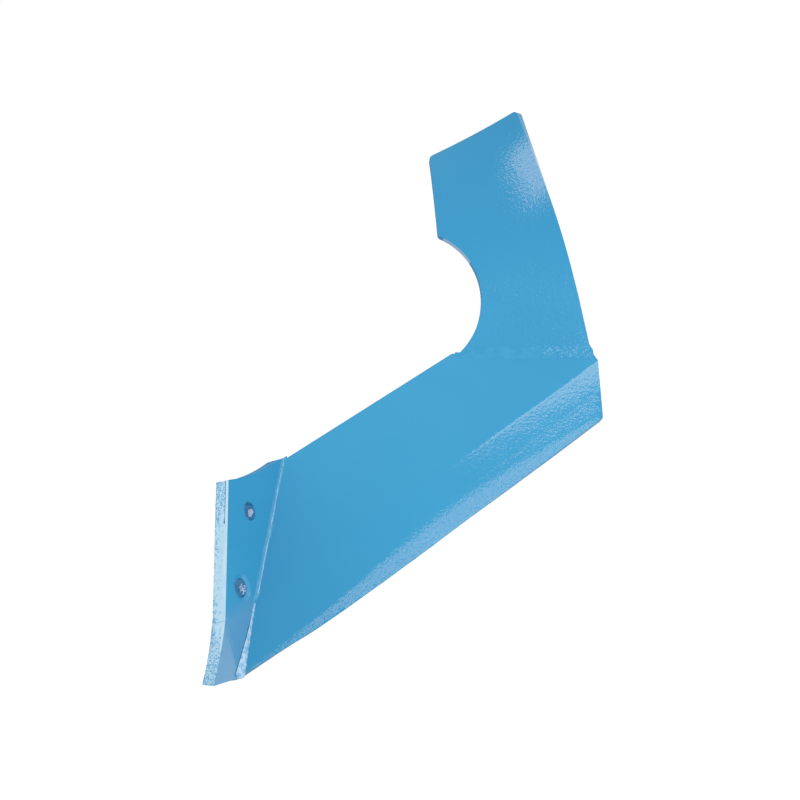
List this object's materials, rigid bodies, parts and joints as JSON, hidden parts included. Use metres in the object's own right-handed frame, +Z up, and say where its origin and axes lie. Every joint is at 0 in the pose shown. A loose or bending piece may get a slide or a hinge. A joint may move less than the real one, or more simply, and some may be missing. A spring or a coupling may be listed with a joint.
{
  "type": "cultivator wing share",
  "caption": "Swept steel wing share for a cultivator tine: bolted side flange, long folded cutting blade and an upright twisted guide plate with a round relief.",
  "frame": {"origin": "middle of the two bolt holes, on the flange's back face that lies against the tine foot", "axes": "+X out of the flange's visible face, toward the wing's side; +Y rearward along the line of travel; +Z up. The flange is upright and the cutting edge's fold is level."},
  "size_m": [0.2145, 0.453, 0.219],
  "materials": {
    "blue_enamel": "light blue gloss enamel with a slight orange peel"
  },
  "bodies": {
    "root": {"wing_blade": "blue_enamel", "guide_plate": "blue_enamel", "seam_weld": "blue_enamel", "notch_weld": "blue_enamel"}
  },
  "joints": []
}
